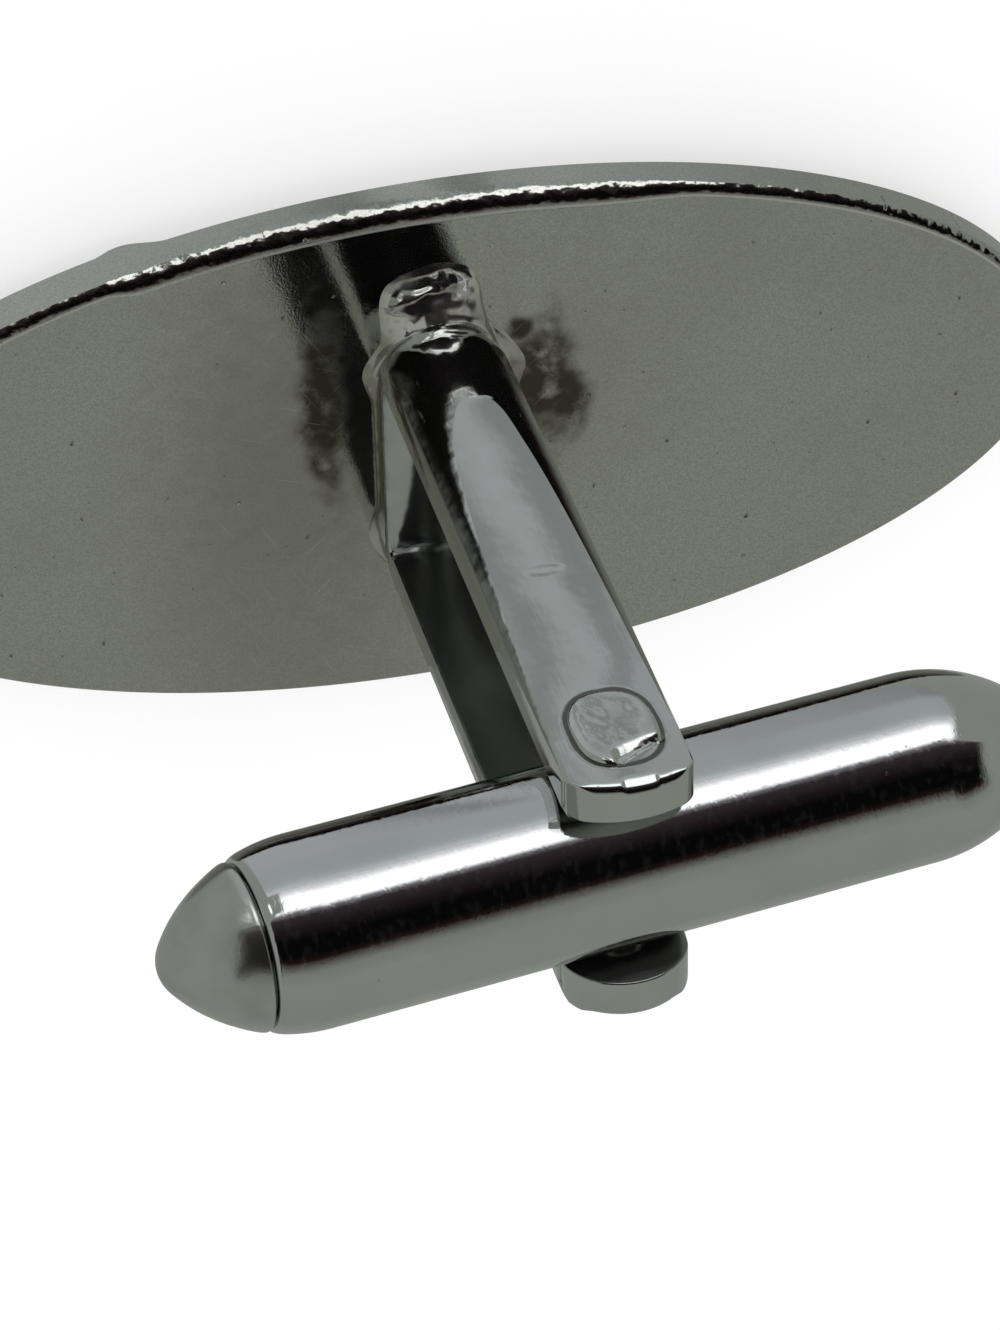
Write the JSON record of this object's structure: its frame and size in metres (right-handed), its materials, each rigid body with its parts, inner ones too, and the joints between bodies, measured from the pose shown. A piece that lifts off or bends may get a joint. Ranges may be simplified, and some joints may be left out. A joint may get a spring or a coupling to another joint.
{
  "type": "cufflink",
  "caption": "Oval metal cufflink with a U post soldered to the back and a bullet toggle that swivels between the legs on a riveted pin.",
  "frame": {"origin": "middle of the oval plate on the flat of its front face, which faces down", "axes": "+X along the plate's length towards the closed end of the toggle, +Y along the swivel pin, +Z from the plate up the post to the toggle"},
  "size_m": [0.0286, 0.0126, 0.0194],
  "materials": {
    "plate_metal": "satin plated",
    "solder": "cast, uneven",
    "post_metal": "tumbled bright",
    "pin_metal": "peened bright",
    "toggle_metal": "polished",
    "cap_metal": "satin polished",
    "spring_steel": "blued spring strip"
  },
  "bodies": {
    "base": {"face_plate": "plate_metal", "solder_joint": "solder", "u_post": "post_metal", "pivot_pin": "pin_metal"},
    "toggle": {"toggle_tube": "toggle_metal", "end_cap": "cap_metal", "leaf_spring": "spring_steel"}
  },
  "joints": [
    {"name": "toggle_swivel", "type": "hinge", "parent": "base", "child": "toggle", "pos_m": [0, 0, 0.01652], "axis": [0, 1, 0], "continuous": true, "deforming": ["leaf_spring"]}
  ]
}
